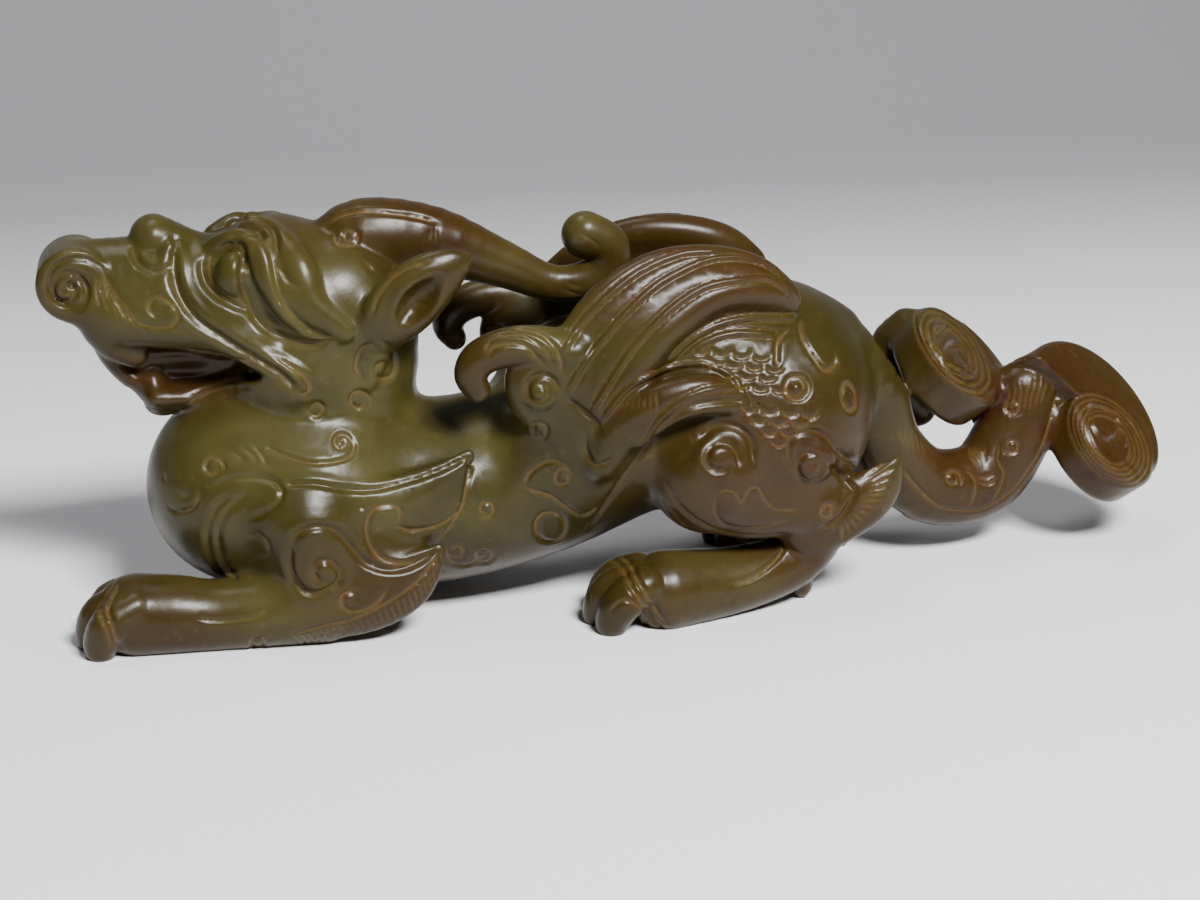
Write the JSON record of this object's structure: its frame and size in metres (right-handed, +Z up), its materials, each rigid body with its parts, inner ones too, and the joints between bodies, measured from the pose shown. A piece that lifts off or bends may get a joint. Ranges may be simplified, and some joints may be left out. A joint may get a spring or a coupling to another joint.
{
  "type": "carved jade beast figurine",
  "caption": "Crouching winged jade beast with a swept-back horn, a curled snout and a forked tail that ends in rolled scrolls. It stands on its own paws.",
  "frame": {"origin": "on the ground under the paws, at the middle of the bounding box's length and width", "axes": "+Z up, -X towards the nose, +X towards the tail, -Y is the side that the picture shows"},
  "size_m": [0.1238, 0.0332, 0.0437],
  "materials": {
    "jade": "polished, waxy, olive green mottled with brown"
  },
  "bodies": {
    "root": {"jade_beast": "jade"}
  },
  "joints": []
}
